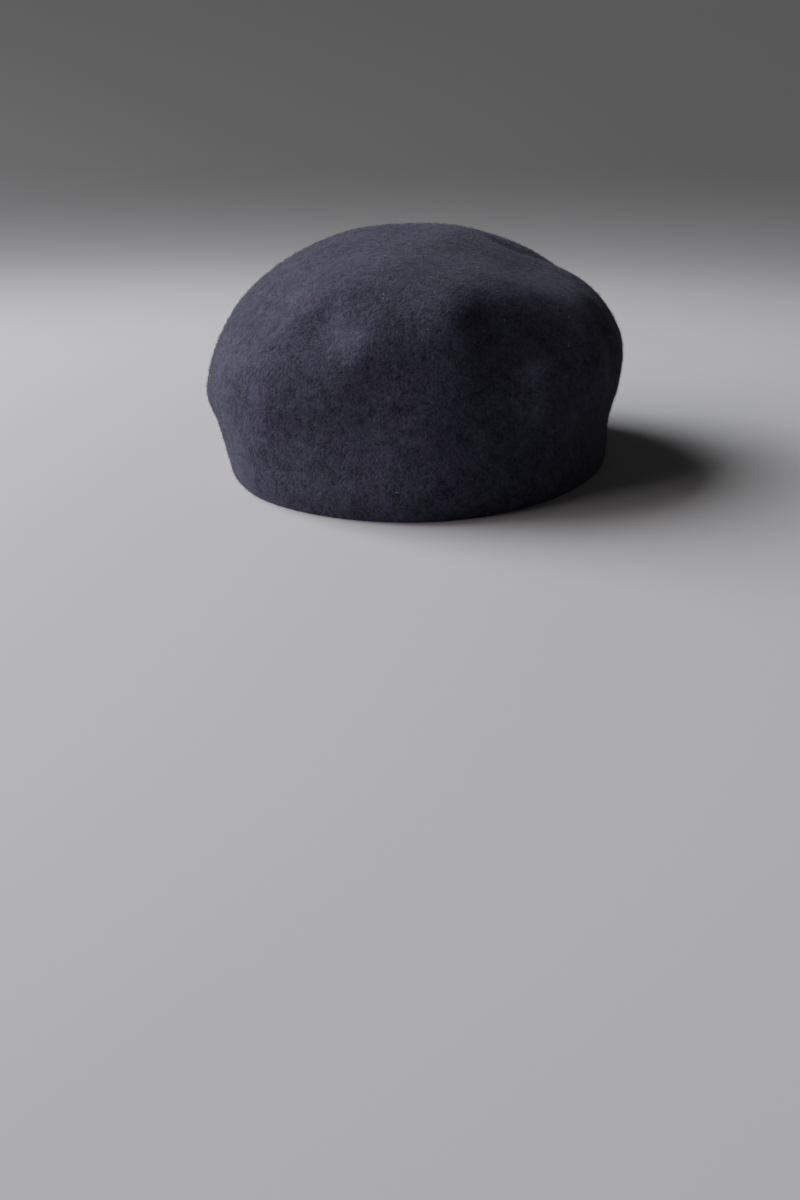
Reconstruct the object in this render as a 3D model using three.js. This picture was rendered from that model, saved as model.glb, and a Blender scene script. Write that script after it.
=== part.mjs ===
// A flat cap blocked in one piece from wool felt. A low crown slopes up from the front to the back and
// spreads past the head at the sides, and a short peak is drawn forward out of the same felt, so the cap
// has no seam, band or lining. It is a single wall, open below, that stands on its cut edge.
//
// Millimetres, +Z up. The cut edge lies at z = 0, the peak points to -Y, and the origin is in the middle
// of the cap's length and width. "Left" and "right" are the wearer's: the wearer's left is +X.

import * as THREE from 'three';

// Driving dimensions. The width is taken before the folds are pressed in.
const CAP_WIDTH = 196;
const CAP_HEIGHT = 105;
const PEAK_REACH = 128; // from the middle of the head to the front of the peak
const NAPE_REACH = 110; // from the middle of the head to the furthest bulge behind
const FELT_THICKNESS = 2.6;
const LEVEL_BELOW = 0.05; // the lowest share of the climb, where the wall stands square to its cut edge

// Fineness of the faceted wall.
const STEPS_ROUND = 96;
const RINGS_UP = 30;

// The blocked shape, a row for each section from the cut edge to the top. Each side of the cap has its
// own column of [out, up]: out is the distance from the middle of the head, and up the height above the
// cut edge. Both are shares: out of that side's reach, and up of CAP_HEIGHT.
const SECTIONS = [
  { name: 'cut edge', front: [0.985, 0], left: [0.92, 0], back: [0.89, 0], right: [0.89, 0] },
  { name: 'peak', front: [1.0, 0.09], left: [0.93, 0.07], back: [0.93, 0.12], right: [0.91, 0.07] },
  { name: 'root', front: [0.96, 0.28], left: [0.935, 0.19], back: [0.97, 0.26], right: [0.955, 0.19] },
  { name: 'overhang', front: [0.95, 0.44], left: [0.98, 0.37], back: [1.0, 0.42], right: [1.0, 0.32] },
  { name: 'shoulder', front: [0.905, 0.6], left: [0.97, 0.55], back: [0.98, 0.6], right: [0.94, 0.52] },
  { name: 'upper side', front: [0.785, 0.74], left: [0.83, 0.74], back: [0.87, 0.78], right: [0.81, 0.71] },
  { name: 'top edge', front: [0.55, 0.87], left: [0.58, 0.89], back: [0.62, 0.92], right: [0.57, 0.88] },
  { name: 'top', front: [0.27, 0.96], left: [0.29, 0.98], back: [0.3, 0.98], right: [0.29, 0.98] },
  { name: 'crown point', front: [0, 1.0], left: [0, 1.0], back: [0, 1.0], right: [0, 1.0] },
];
const REACH = { front: PEAK_REACH, left: CAP_WIDTH / 2, back: NAPE_REACH, right: CAP_WIDTH / 2 };

// Soft dents and folds pressed into the felt, each between two places of [turn, climb]. A turn is in
// degrees round the head from the peak towards the wearer's left, and a climb goes from 0 at the cut edge
// to 1 at the top. Width is half the fold's breadth, and a negative depth is a swelling.
const FOLDS = [
  { name: 'left shoulder slump', from: [62, 0.75], to: [76, 0.75], width: 25, depth: 4.5 },
  { name: 'crease behind the slump', from: [109, 0.6], to: [105, 0.79], width: 14, depth: 5 },
  { name: 'crease over the front', from: [90, 0.86], to: [22, 0.78], width: 13, depth: 1.1 },
  { name: 'left brow', from: [14, 0.44], to: [16, 0.64], width: 17, depth: -3.6 },
  { name: 'left front dent', from: [16, 0.49], to: [36, 0.49], width: 23, depth: 8 },
  { name: 'left front swelling', from: [40, 0.34], to: [44, 0.33], width: 13, depth: -5.5 },
  { name: 'left side dent', from: [72, 0.55], to: [72, 0.45], width: 9, depth: 4 },
  { name: 'left side swelling', from: [60, 0.45], to: [57, 0.48], width: 11, depth: -2.5 },
  { name: 'right brow', from: [-26, 0.7], to: [-10, 0.73], width: 22, depth: -3.3 },
  { name: 'right front dent', from: [-20, 0.58], to: [-17, 0.57], width: 12, depth: 3.8 },
  { name: 'middle hollow', from: [-2, 0.4], to: [5, 0.48], width: 28, depth: 4.8 },
  { name: 'right low swelling', from: [-36, 0.26], to: [-39, 0.42], width: 22, depth: -4.2 },
  { name: 'right side dent', from: [-60, 0.36], to: [-37, 0.36], width: 9, depth: 2 },
  { name: 'peak swelling', from: [10, 0.1], to: [30, 0.17], width: 17, depth: -1.4 },
  { name: 'right shoulder fall', from: [-42, 0.65], to: [-42, 0.65], width: 28, depth: 3.4 },
  { name: 'front swelling', from: [10, 0.49], to: [10, 0.49], width: 24, depth: -2.5 },
  { name: 'right side swelling', from: [-50, 0.37], to: [-50, 0.37], width: 14, depth: -1.4 },
  { name: 'left side fall', from: [52, 0.53], to: [52, 0.53], width: 18, depth: 1.6 },
];

const DEGREE = Math.PI / 180;

/** A section's place on one side of the cap, as seen in that side's upright plane. */
function placeOf(section, side, sign) {
  const [out, up] = section[side];
  return new THREE.Vector2(sign * out * REACH[side], up * CAP_HEIGHT);
}

/** The profile of the cap in one upright plane: up the near side, over the crown point and down the far. */
function profileOver(near, far) {
  const rising = SECTIONS.map((section) => placeOf(section, near, -1));
  const falling = SECTIONS.slice(0, -1).reverse().map((section) => placeOf(section, far, 1));
  return new THREE.SplineCurve([...rising, ...falling]);
}

const foreAndAft = profileOver('front', 'back');
const acrossHead = profileOver('right', 'left');

/** A point of the smooth blocked shape, before any fold. */
function blockedPoint(turn, climb) {
  const forward = Math.cos(turn);
  const sideways = Math.sin(turn);
  const lengthwise = foreAndAft.getPoint(forward > 0 ? climb / 2 : 1 - climb / 2);
  const crosswise = acrossHead.getPoint(sideways > 0 ? 1 - climb / 2 : climb / 2);
  return new THREE.Vector3(
    crosswise.x * Math.abs(sideways),
    lengthwise.x * Math.abs(forward),
    lengthwise.y * forward ** 2 + crosswise.y * sideways ** 2,
  );
}

/**
 * The outward normal of a surface given as a function of turn and climb. Towards the cut edge it is made
 * level, so that what moves along it stays in the edge's plane.
 */
function normalOf(surface, turn, climb) {
  const step = 1e-3;
  const inside = Math.min(climb, 1 - step * 4);
  const round = surface(turn + step, inside).sub(surface(turn - step, inside));
  const upward = surface(turn, inside + step).sub(surface(turn, Math.max(inside - step, 0)));
  const normal = round.cross(upward).normalize();
  return normal.setZ(normal.z * Math.min(climb / LEVEL_BELOW, 1)).normalize();
}

const foldLines = FOLDS.map(({ from, to, width, depth }) => ({
  line: new THREE.Line3(blockedPoint(from[0] * DEGREE, from[1]), blockedPoint(to[0] * DEGREE, to[1])),
  width,
  depth,
}));

/** How far all the folds together press the felt in at a point. */
function foldDepth(point) {
  const nearest = new THREE.Vector3();
  let total = 0;
  for (const { line, width, depth } of foldLines) {
    const away = line.closestPointToPoint(point, true, nearest).distanceTo(point);
    total += depth * Math.exp(-((away / width) ** 2));
  }
  return total;
}

/** A point of the cap's outer face, folds included. */
function outerPoint(turn, climb) {
  const point = blockedPoint(turn, climb);
  return point.addScaledVector(normalOf(blockedPoint, turn, climb), -foldDepth(point));
}

/** A point of the cap's inner face, one felt thickness behind the outer face. */
function innerPoint(turn, climb) {
  return outerPoint(turn, climb).addScaledVector(normalOf(outerPoint, turn, climb), -FELT_THICKNESS);
}

/** The closed felt wall: the outer face up to the crown point, and the inner face back down. */
function feltWall() {
  const turns = Array.from({ length: STEPS_ROUND }, (_, i) => (i * 2 * Math.PI) / STEPS_ROUND);
  const climbs = Array.from({ length: RINGS_UP }, (_, i) => i / RINGS_UP);
  const rings = [
    ...climbs.map((climb) => turns.map((turn) => outerPoint(turn, climb))),
    ...climbs.toReversed().map((climb) => turns.map((turn) => innerPoint(turn, climb))),
  ];
  const points = rings.flat();
  const outerTop = points.push(outerPoint(0, 1)) - 1;
  const innerTop = points.push(innerPoint(0, 1)) - 1;

  const faces = [];
  const quad = (a, b, c, d) => {
    const splitFromA = points[a].distanceTo(points[c]) <= points[b].distanceTo(points[d]);
    faces.push(...(splitFromA ? [a, b, c, a, c, d] : [a, b, d, b, c, d]));
  };
  for (let ring = 0; ring < rings.length; ring++) {
    const here = ring * STEPS_ROUND;
    const above = ((ring + 1) % rings.length) * STEPS_ROUND;
    for (let i = 0; i < STEPS_ROUND; i++) {
      const next = (i + 1) % STEPS_ROUND;
      if (ring === RINGS_UP - 1) {
        faces.push(here + i, here + next, outerTop);
        faces.push(above + next, above + i, innerTop);
      } else {
        quad(here + i, here + next, above + next, above + i);
      }
    }
  }
  const geometry = new THREE.BufferGeometry().setFromPoints(points);
  geometry.setIndex(faces);
  geometry.computeVertexNormals();
  geometry.computeBoundingBox();
  return geometry;
}

const navyFelt = new THREE.MeshStandardMaterial({ color: 0x23242f, roughness: 0.95, metalness: 0 });

const feltCap = new THREE.Mesh(feltWall(), navyFelt);
feltCap.name = 'felt_cap';
const middle = feltCap.geometry.boundingBox.getCenter(new THREE.Vector3());
feltCap.position.set(-middle.x, -middle.y, 0);

const cap = new THREE.Group();
cap.add(feltCap);

export default cap;
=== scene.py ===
"""The looks of a flat cap blocked in one piece from navy wool felt.

Metres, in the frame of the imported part: +Z up, the cap stands on its cut edge at z = 0, its peak points
to -Y, and the wearer's left is +X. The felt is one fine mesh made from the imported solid, with a nap of
single fibres and a little lint on it.
"""

import math

import bmesh
import bpy
import numpy as np
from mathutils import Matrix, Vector, noise


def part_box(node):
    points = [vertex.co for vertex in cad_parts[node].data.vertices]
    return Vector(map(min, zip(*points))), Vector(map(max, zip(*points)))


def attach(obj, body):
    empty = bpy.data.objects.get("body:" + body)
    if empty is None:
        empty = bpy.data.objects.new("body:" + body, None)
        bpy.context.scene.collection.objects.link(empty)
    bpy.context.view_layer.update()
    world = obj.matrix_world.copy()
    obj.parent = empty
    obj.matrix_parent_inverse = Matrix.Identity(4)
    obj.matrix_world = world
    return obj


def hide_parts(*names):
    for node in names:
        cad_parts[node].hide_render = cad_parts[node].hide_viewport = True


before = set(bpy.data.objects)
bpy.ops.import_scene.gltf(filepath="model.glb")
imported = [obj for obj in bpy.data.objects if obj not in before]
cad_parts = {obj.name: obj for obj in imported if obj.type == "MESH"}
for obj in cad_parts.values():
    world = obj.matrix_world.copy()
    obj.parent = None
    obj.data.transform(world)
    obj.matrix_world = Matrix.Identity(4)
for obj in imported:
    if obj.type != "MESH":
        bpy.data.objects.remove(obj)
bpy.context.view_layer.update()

MM = 0.001
SEED = 11

FELT_NODE = "felt_cap"
LOW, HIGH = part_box(FELT_NODE)
MIDDLE = (LOW + HIGH) / 2


# ---------------------------------------------------------------- the felt wall

SAME_PLACE = 0.001 * MM
EDGE_ROUNDING = 0.5 * MM
ON_CUT_EDGE = 0.01 * MM  # a corner lower than this lies on the cut edge
FINENESS = 2  # levels of subdivision
CORNER_PASSES = 3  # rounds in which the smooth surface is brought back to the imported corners

# The waves that hand blocking and wear leave in the felt: wavelength and height. They fade out below
# STEADY_UP_TO, so that the cut edge stays level.
UNEVENNESS = (
    (34 * MM, 0.5 * MM),
    (14 * MM, 0.22 * MM),
    (5 * MM, 0.09 * MM),
)
STEADY_UP_TO = 4 * MM

# Small dents of wear in the front, in mm. Across, towards the wearer's left, and up give a dent's middle
# as it is seen straight from the front. Width is half its breadth, and a negative depth is a rise.
DENTS = (
    {"name": "right upper dent", "across": -29, "up": 75, "width": 8, "depth": 1.5},
    {"name": "right pinch", "across": -8, "up": 64, "width": 8, "depth": -1.1},
    {"name": "right lower pinch", "across": -17, "up": 53, "width": 7, "depth": -0.8},
    {"name": "brow rise", "across": 24, "up": 73, "width": 10, "depth": -1.7},
    {"name": "left hollow", "across": 40, "up": 71, "width": 10, "depth": 2.2},
    {"name": "left low rise", "across": 61, "up": 51, "width": 9, "depth": -4.3},
    {"name": "under the left low rise", "across": 56, "up": 36, "width": 8, "depth": 0.8},
    {"name": "middle rise", "across": 2, "up": 32, "width": 8, "depth": -0.6},
    {"name": "right middle rise", "across": -16, "up": 35, "width": 10, "depth": -0.5},
    {"name": "peak rise", "across": 18, "up": 30, "width": 7, "depth": -0.6},
    {"name": "right low rise", "across": -47, "up": 47, "width": 10, "depth": -0.8},
    {"name": "broad left brow", "across": 30, "up": 68, "width": 26, "depth": -1.0},
    {"name": "broad right fall", "across": -45, "up": 77, "width": 26, "depth": 1.0},
    {"name": "right side flare", "across": -74, "up": 38, "width": 18, "depth": -1.0},
    {"name": "left shoulder dent", "across": 65, "up": 75, "width": 10, "depth": 0.8},
)


def new_piece(name, mesh, material):
    """A piece of the cap, with its material."""
    piece = bpy.data.objects.new(name, mesh)
    bpy.context.scene.collection.objects.link(piece)
    mesh.materials.clear()
    mesh.materials.append(material)
    return piece


def corners_of(mesh):
    """The places of a mesh's corners, one row each."""
    places = np.empty(len(mesh.vertices) * 3)
    mesh.vertices.foreach_get("co", places)
    return places.reshape(-1, 3)


def subdivide(piece):
    """Subdivides a piece smoothly, so that its surface still passes through the corners it had."""
    smoother = piece.modifiers.new("smoother", "SUBSURF")
    smoother.levels = smoother.render_levels = FINENESS
    corners = corners_of(piece.data)
    moved = corners.copy()
    for _ in range(CORNER_PASSES + 1):
        piece.data.vertices.foreach_set("co", moved.ravel())
        piece.data.update()
        bpy.context.view_layer.update()
        evaluated = piece.evaluated_get(bpy.context.evaluated_depsgraph_get())
        fine = bpy.data.meshes.new_from_object(evaluated)
        moved += corners - corners_of(fine)[: len(corners)]
    piece.modifiers.clear()
    piece.data = fine


def joined_in_fours(mesh):
    """Joins the solid's triangles in pairs across the edge that is the longest of both."""
    work = bmesh.new()
    work.from_mesh(mesh)
    bmesh.ops.remove_doubles(work, verts=work.verts, dist=SAME_PLACE)
    diagonals = []
    for edge in work.edges:
        faces = edge.link_faces
        longest = [max(face.edges, key=lambda side: side.calc_length()) for face in faces]
        if len(faces) == 2 and longest[0] == edge and longest[1] == edge:
            diagonals.append(edge)
    bmesh.ops.dissolve_edges(work, edges=diagonals, use_verts=False, use_face_split=False)
    return work


def on_cut_edge(element):
    """Whether all corners of an edge or a face lie on the cut edge."""
    return all(vertex.co.z < ON_CUT_EDGE for vertex in element.verts)


def round_the_cut_edge(work):
    """Takes off both corners of the cut edge a little. The subdivision then rounds them."""
    corners = [
        edge
        for edge in work.edges
        if on_cut_edge(edge) and sum(on_cut_edge(face) for face in edge.link_faces) == 1
    ]
    bmesh.ops.bevel(
        work, geom=corners, offset=EDGE_ROUNDING, offset_type="OFFSET", segments=1, profile=0.5,
        affect="EDGES",
    )


def outside(places, normals):
    """Whether each place lies on the outer face of the felt, where the normal points away from the
    cap's middle."""
    return ((places - np.array(MIDDLE)) * normals).sum(axis=1) > 0


def outwards(felt):
    """The direction away from the head at each corner, on both faces of the felt, so that both move
    together."""
    felt.data.update()
    places = corners_of(felt.data)
    normals = np.array([vertex.normal for vertex in felt.data.vertices])
    return np.where(outside(places, normals)[:, None], normals, -normals)


def press_dents(felt):
    """Presses the small dents of wear into the front of the felt."""
    places = corners_of(felt.data)
    bpy.context.view_layer.update()
    shift = np.zeros(len(places))
    for dent in DENTS:
        sight = Vector((dent["across"] * MM, LOW.y - 1, dent["up"] * MM))
        _, middle, *_ = felt.ray_cast(sight, (0, 1, 0))
        away = np.linalg.norm(places - np.array(middle), axis=1)
        shift -= dent["depth"] * MM * np.exp(-((away / (dent["width"] * MM)) ** 2))
    felt.data.vertices.foreach_set("co", (places + outwards(felt) * shift[:, None]).ravel())
    felt.data.update()


def roughen(felt):
    """Moves the felt in and out by the low waves of its unevenness."""
    for vertex, outward in zip(felt.data.vertices, outwards(felt)):
        place = vertex.co.copy()
        share = min(max(place.z / STEADY_UP_TO, 0.0), 1.0)
        shift = sum(height * noise.noise(place / length) for length, height in UNEVENNESS)
        vertex.co = place + Vector(outward) * shift * share
        vertex.co.z = max(vertex.co.z, 0.0)


def make_felt(material):
    """The whole felt wall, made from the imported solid, which it stands for."""
    work = joined_in_fours(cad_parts[FELT_NODE].data)
    round_the_cut_edge(work)
    bmesh.ops.recalc_face_normals(work, faces=work.faces)
    mesh = bpy.data.meshes.new("felt_wall")
    work.to_mesh(mesh)
    work.free()
    felt = new_piece("felt_wall", mesh, material)
    subdivide(felt)
    press_dents(felt)
    roughen(felt)
    felt.data.shade_smooth()
    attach(felt, "root")
    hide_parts(FELT_NODE)
    return felt


# ---------------------------------------------------------------- the nap

NAP_PIECES = 3
# Rise is how far the middle of the highest fibre stands off the felt.
NAP = {"count": 13000, "length": (0.8 * MM, 2.2 * MM), "rise": 0.8 * MM, "thickness": 0.075 * MM}
LINT = {"count": 110, "length": (0.3 * MM, 1.4 * MM), "rise": 0.5 * MM, "thickness": 0.2 * MM}
LEAST_RISE = 0.1  # of the kind's rise
RISE_FALL = 1.5  # above 1, low fibres are more common than high ones
CURL = 0.5  # how far a tip may turn aside, as a share of the fibre's length
TIP_RISE = 1.6  # how high a tip may stand, as a share of the fibre's rise
SUNK = 0.06 * MM  # how deep a fibre's root lies in the felt
OFF_THE_FLOOR = 0.03 * MM
FIBRE_SIDES = 3
FIBRE_TAPER = (1.0, 0.9, 0.3)  # shares of the thickness at the root, the middle and the tip


def unit(vectors):
    """The vectors, one a row, each made one long."""
    return vectors / np.maximum(np.linalg.norm(vectors, axis=1, keepdims=True), 1e-12)


def roots_on(mesh, count, draw):
    """Random places on the outer face, spread evenly over its area, with their normals."""
    mesh.calc_loop_triangles()
    corners = np.empty(len(mesh.loop_triangles) * 3, np.int32)
    mesh.loop_triangles.foreach_get("vertices", corners)
    triangles = corners_of(mesh)[corners.reshape(-1, 3)]
    cross = np.cross(triangles[:, 1] - triangles[:, 0], triangles[:, 2] - triangles[:, 0])
    centres = triangles.mean(axis=1)
    weights = np.linalg.norm(cross, axis=1) * outside(centres, unit(cross))
    picked = draw.choice(len(triangles), count, p=weights / weights.sum())
    shares = draw.dirichlet((1, 1, 1), count)
    return (triangles[picked] * shares[:, :, None]).sum(axis=1), unit(cross)[picked]


def fibre_corners(mesh, kind, draw):
    """The corners of short curved fibres that lie on the felt every way: for each fibre, a ring of
    corners at its root, one at its middle and one at its tip."""
    count = kind["count"]
    roots, normals = roots_on(mesh, count, draw)
    along = unit(np.cross(normals, draw.normal(size=(count, 3))))
    aside = np.cross(normals, along)
    length = draw.uniform(*kind["length"], count)[:, None]
    rise = kind["rise"] * draw.uniform(LEAST_RISE, 1.0, count)[:, None] ** RISE_FALL
    curl = draw.uniform(-CURL, CURL, count)[:, None]
    tip_rise = draw.uniform(0.0, TIP_RISE, count)[:, None]
    spine = (
        roots - normals * SUNK,
        roots + along * length * 0.5 + normals * rise,
        roots + (along + aside * curl) * length + normals * rise * tip_rise,
    )
    rings = []
    for place, taper in zip(spine, FIBRE_TAPER):
        for side in range(FIBRE_SIDES):
            angle = 2 * math.pi * side / FIBRE_SIDES
            out = (aside * math.cos(angle) + normals * math.sin(angle)) * kind["thickness"] / 2 * taper
            rings.append(place + out)
    points = np.stack(rings, axis=1)
    points[:, :, 2] = np.maximum(points[:, :, 2], OFF_THE_FLOOR)
    return points


def fibre_faces():
    """The faces of one fibre: a closed tube from ring to ring."""
    faces = [tuple(reversed(range(FIBRE_SIDES)))]
    last = (len(FIBRE_TAPER) - 1) * FIBRE_SIDES
    for ring in range(0, last, FIBRE_SIDES):
        for side in range(FIBRE_SIDES):
            here, after = ring + side, ring + (side + 1) % FIBRE_SIDES
            faces.append((here, after, after + FIBRE_SIDES, here + FIBRE_SIDES))
    faces.append(tuple(range(last, last + FIBRE_SIDES)))
    return faces


def mesh_of_copies(name, points, faces):
    """A mesh of many pieces with the same faces. Each row of points has the corners of one of them."""
    count, corners_each, _ = points.shape
    loops = np.array([corner for face in faces for corner in face])
    sizes = np.tile([len(face) for face in faces], count)
    all_loops = (loops[None] + np.arange(count)[:, None] * corners_each).ravel()
    mesh = bpy.data.meshes.new(name)
    mesh.vertices.add(count * corners_each)
    mesh.vertices.foreach_set("co", points.ravel())
    mesh.loops.add(len(all_loops))
    mesh.loops.foreach_set("vertex_index", all_loops)
    mesh.polygons.add(len(sizes))
    mesh.polygons.foreach_set("loop_start", np.cumsum(sizes) - sizes)
    mesh.update(calc_edges=True)
    mesh.validate()
    return mesh


def make_fibres(name, felt, kind, material, seed):
    """A piece of fibres of one kind, on the outer face of the felt."""
    points = fibre_corners(felt.data, kind, np.random.default_rng(seed))
    piece = new_piece(name, mesh_of_copies(name, points, fibre_faces()), material)
    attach(piece, "root")


# ---------------------------------------------------------------- materials


# Which sockets of a Mix node carry its colours.
FIRST_COLOUR, SECOND_COLOUR, MIXED_COLOUR = 6, 7, 2


class Nodes:
    """A material's node tree, written as calls."""

    def __init__(self, name):
        self.material = bpy.data.materials.new(name)
        self.material.use_nodes = True
        self.tree = self.material.node_tree
        self.tree.nodes.clear()

    def feed(self, socket, value):
        """Links a socket to another node's output, or sets it where value is a number or a colour."""
        if isinstance(value, bpy.types.NodeSocket):
            self.tree.links.new(value, socket)
        else:
            socket.default_value = value

    def add(self, kind, inputs=(), **settings):
        """A node with its settings and inputs. An input is a number, a colour or another node's
        output."""
        node = self.tree.nodes.new("ShaderNode" + kind)
        for name, value in settings.items():
            setattr(node, name, value)
        for name, value in dict(inputs).items():
            self.feed(node.inputs[name], value)
        return node

    def math(self, operation, *values):
        return self.add("Math", enumerate(values), operation=operation).outputs[0]

    def total(self, *parts):
        """The sum of values, each times its own share."""
        values = [self.math("MULTIPLY", value, share) for value, share in parts]
        result = values[0]
        for value in values[1:]:
            result = self.math("ADD", result, value)
        return result

    def ramp(self, value, low, high):
        """value, from low to high, turned smoothly into a number from 0 to 1."""
        inputs = {"Value": value, "From Min": low, "From Max": high}
        return self.add("MapRange", inputs, interpolation_type="SMOOTHSTEP").outputs[0]

    def mix(self, share, first, second):
        """A colour that goes from first to second as share goes from 0 to 1."""
        node = self.add("Mix", {"Factor": share}, data_type="RGBA")
        self.feed(node.inputs[FIRST_COLOUR], first)
        self.feed(node.inputs[SECOND_COLOUR], second)
        return node.outputs[MIXED_COLOUR]

    def noise(self, place, per_mm, detail=2.0, distortion=0.0, kind="FBM", offset=(0, 0, 0)):
        """A cloudy pattern with per_mm waves to the millimetre. The offset sets it apart from others."""
        moved = self.add("VectorMath", {0: place, 1: offset}, operation="ADD").outputs[0]
        inputs = {
            "Vector": moved,
            "Scale": per_mm,
            "Detail": detail,
            "Roughness": 0.6,
            "Distortion": distortion,
        }
        return self.add("TexNoise", inputs, noise_type=kind).outputs[0]

    def place_in_mm(self):
        """The place on the piece, so that a pattern stays on it in every pose."""
        coordinates = self.add("TexCoord").outputs["Object"]
        return self.add("VectorMath", {0: coordinates, "Scale": 1 / MM}, operation="SCALE").outputs[0]

    def finish(self, shader):
        self.add("OutputMaterial", {"Surface": shader})
        return self.material


def felt_material():
    """Matted navy wool, with a cast that goes from blue to violet. Its colour is darker where the bump is
    low and lighter where it is high: partly tone that differs at random in grain and clumps, partly
    painted shade in the gaps between fibres and a painted highlight on the raised fibres."""
    n = Nodes("navy_wool_felt")
    place = n.place_in_mm()
    fibres = n.ramp(n.noise(place, 0.42, 2.0, 1.2, "RIDGED_MULTIFRACTAL"), 0.3, 1.5)
    grain = n.ramp(n.noise(place, 0.85, 2.0, 0.6, offset=(31, 7, 3)), 0.3, 0.7)
    clumps = n.ramp(n.noise(place, 0.24, 2.0, 0.6, offset=(5, 50, 9)), 0.3, 0.7)
    patches = n.ramp(n.noise(place, 0.07, 2.0, 0.5, offset=(70, 3, 40)), 0.35, 0.65)
    flecks = n.ramp(n.noise(place, 0.3, 2.0, 0.5, offset=(2, 30, 66)), 0.35, 0.65)
    cast = n.ramp(n.noise(place, 0.045, 1.0, 0.5, offset=(9, 81, 20)), 0.35, 0.65)
    tint = n.total((flecks, 0.5), (cast, 0.5))

    # Tone follows the bump's height below: painted shade in the gaps between fibres and a painted
    # highlight on the raised fibres, over tone that differs at random.
    tone = n.total((fibres, 0.25), (grain, 0.43), (clumps, 0.28), (patches, 0.12))
    deep = n.mix(tint, (0.0060, 0.0075, 0.012, 1), (0.0078, 0.0068, 0.012, 1))
    light = n.mix(tint, (0.058, 0.068, 0.099, 1), (0.066, 0.062, 0.109, 1))
    colour = n.mix(tone, deep, light)

    height = n.total((fibres, 0.3), (grain, 0.6), (clumps, 0.4))
    bump = n.add("Bump", {"Height": height, "Strength": 1.0, "Distance": 0.27 * MM})
    surface = n.add(
        "BsdfPrincipled",
        {
            "Base Color": colour,
            "Roughness": 0.95,
            "Specular IOR Level": 0.15,
            "Sheen Weight": 0.08,
            "Sheen Roughness": 0.45,
            "Sheen Tint": (0.62, 0.62, 0.80, 1),
            "Normal": bump.outputs[0],
        },
    )
    return n.finish(surface.outputs[0])


def fibre_material(name, per_mm, dark, pale):
    """Single matt fibres, whose colour goes from dark to pale from place to place."""
    n = Nodes(name)
    tone = n.ramp(n.noise(n.place_in_mm(), per_mm, 1.0), 0.35, 0.65)
    inputs = {"Base Color": n.mix(tone, dark, pale), "Roughness": 0.8, "Specular IOR Level": 0.25}
    return n.finish(n.add("BsdfPrincipled", inputs).outputs[0])


def studio_material():
    """A pale floor that darkens towards the wall, so that the wall throws little light back on the
    cap."""
    n = Nodes("pale_studio")
    place = n.add("TexCoord").outputs["Object"]
    away = n.add("VectorMath", {0: place}, operation="LENGTH").outputs["Value"]
    colour = n.mix(n.ramp(away, 0.3, 1.6), (0.36, 0.36, 0.36, 1), (0.06, 0.059, 0.058, 1))
    surface = n.add("BsdfPrincipled", {"Base Color": colour, "Roughness": 0.9})
    return n.finish(surface.outputs[0])


# ---------------------------------------------------------------- studio, lights and camera


def make_studio():
    """A round pale floor that curves up into a wall, a plain backdrop for every view. The lamps stand
    outside and shine through it."""
    floor_radius, cove_radius, wall_top, steps = 0.9, 2.2, 2.8, 32
    outline = [(0.0, 0.0), (floor_radius / 2, 0.0)]
    for step in range(steps + 1):
        angle = math.pi / 2 * step / steps
        out = floor_radius + cove_radius * math.sin(angle)
        up = cove_radius * (1 - math.cos(angle))
        outline.append((out, up))
    outline.append((floor_radius + cove_radius, wall_top))
    work = bmesh.new()
    line = [work.verts.new((out, 0, up)) for out, up in outline]
    for first, second in zip(line, line[1:]):
        work.edges.new((first, second))
    bmesh.ops.spin(
        work, geom=work.verts[:] + work.edges[:], cent=(0, 0, 0), axis=(0, 0, 1), angle=2 * math.pi,
        steps=96, use_merge=True, use_duplicate=False,
    )
    bmesh.ops.remove_doubles(work, verts=work.verts, dist=1e-5)
    mesh = bpy.data.meshes.new("studio")
    work.to_mesh(mesh)
    work.free()
    mesh.shade_smooth()
    mesh.materials.append(studio_material())
    studio = bpy.data.objects.new("studio", mesh)
    bpy.context.scene.collection.objects.link(studio)
    studio.visible_shadow = False


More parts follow.
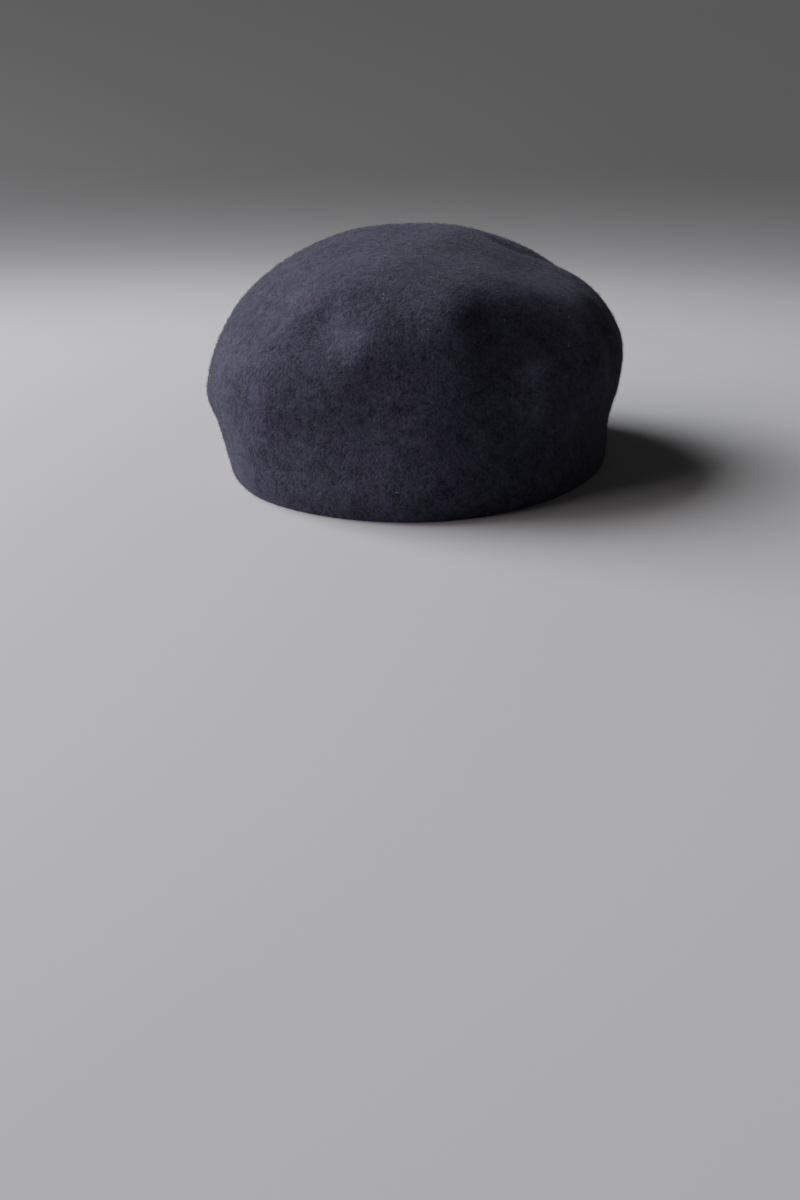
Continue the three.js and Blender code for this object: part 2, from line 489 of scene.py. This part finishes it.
def add_light(name, azimuth, elevation, distance, size, power, colour):
    """A soft light aimed at the cap. Azimuth 0 is in front of the peak and 90 at the wearer's left,
    elevation is above the floor, and both are in degrees."""
    light = bpy.data.lights.new(name, "AREA")
    light.shape = "SQUARE"
    light.size = size
    light.energy = power
    light.color = colour
    lamp = bpy.data.objects.new(name, light)
    bpy.context.scene.collection.objects.link(lamp)
    turn, rise = math.radians(azimuth), math.radians(elevation)
    back = Vector((math.sin(turn) * math.cos(rise), -math.cos(turn) * math.cos(rise), math.sin(rise)))
    lamp.location = MIDDLE + back * distance
    lamp.rotation_euler = back.to_track_quat("Z", "Y").to_euler()
    lamp.visible_camera = False


def make_world(colour, strength):
    world = bpy.data.worlds.new("studio_world")
    world.use_nodes = True
    background = world.node_tree.nodes["Background"]
    background.inputs["Color"].default_value = (*colour, 1)
    background.inputs["Strength"].default_value = strength
    bpy.context.scene.world = world


def make_camera():
    """Looks down at the front of the cap from a little towards the wearer's left."""
    head_axis = Vector((0.65 * MM, 9.3 * MM, 0))
    turn, pitch = 5.7, 20.3  # degrees, round the head and down
    distance, height, lens = 596 * MM, 141.2 * MM, 37.2
    camera = bpy.data.objects.new("camera", bpy.data.cameras.new("camera"))
    bpy.context.scene.collection.objects.link(camera)
    back = Vector((math.sin(math.radians(turn)), -math.cos(math.radians(turn)), 0))
    camera.location = head_axis + back * distance + Vector((0, 0, height))
    camera.rotation_euler = (math.radians(90 - pitch), 0, math.radians(turn))
    camera.data.lens = lens
    camera.data.shift_x = -0.0144
    camera.data.clip_start = 0.02
    bpy.context.scene.camera = camera


make_camera()
make_studio()
make_world((1.0, 0.92, 0.82), 0.002)
add_light("window", -110, 35, distance=5, size=3.5, power=500, colour=(0.95, 0.96, 1))
add_light("window_side", -65, 22, distance=5, size=3.5, power=190, colour=(1, 0.91, 0.92))
felt = make_felt(felt_material())
nap_finish = fibre_material("navy_wool_fibre", 0.4, (0.035, 0.036, 0.05, 1), (0.085, 0.088, 0.115, 1))
lint_finish = fibre_material("pale_lint", 0.05, (0.2, 0.21, 0.23, 1), (0.5, 0.51, 0.53, 1))
for part in range(NAP_PIECES):
    make_fibres(f"crown_nap_{part + 1}", felt, NAP, nap_finish, SEED + part)
make_fibres("crown_lint", felt, LINT, lint_finish, SEED + NAP_PIECES)
bpy.context.scene.view_settings.view_transform = "Standard"
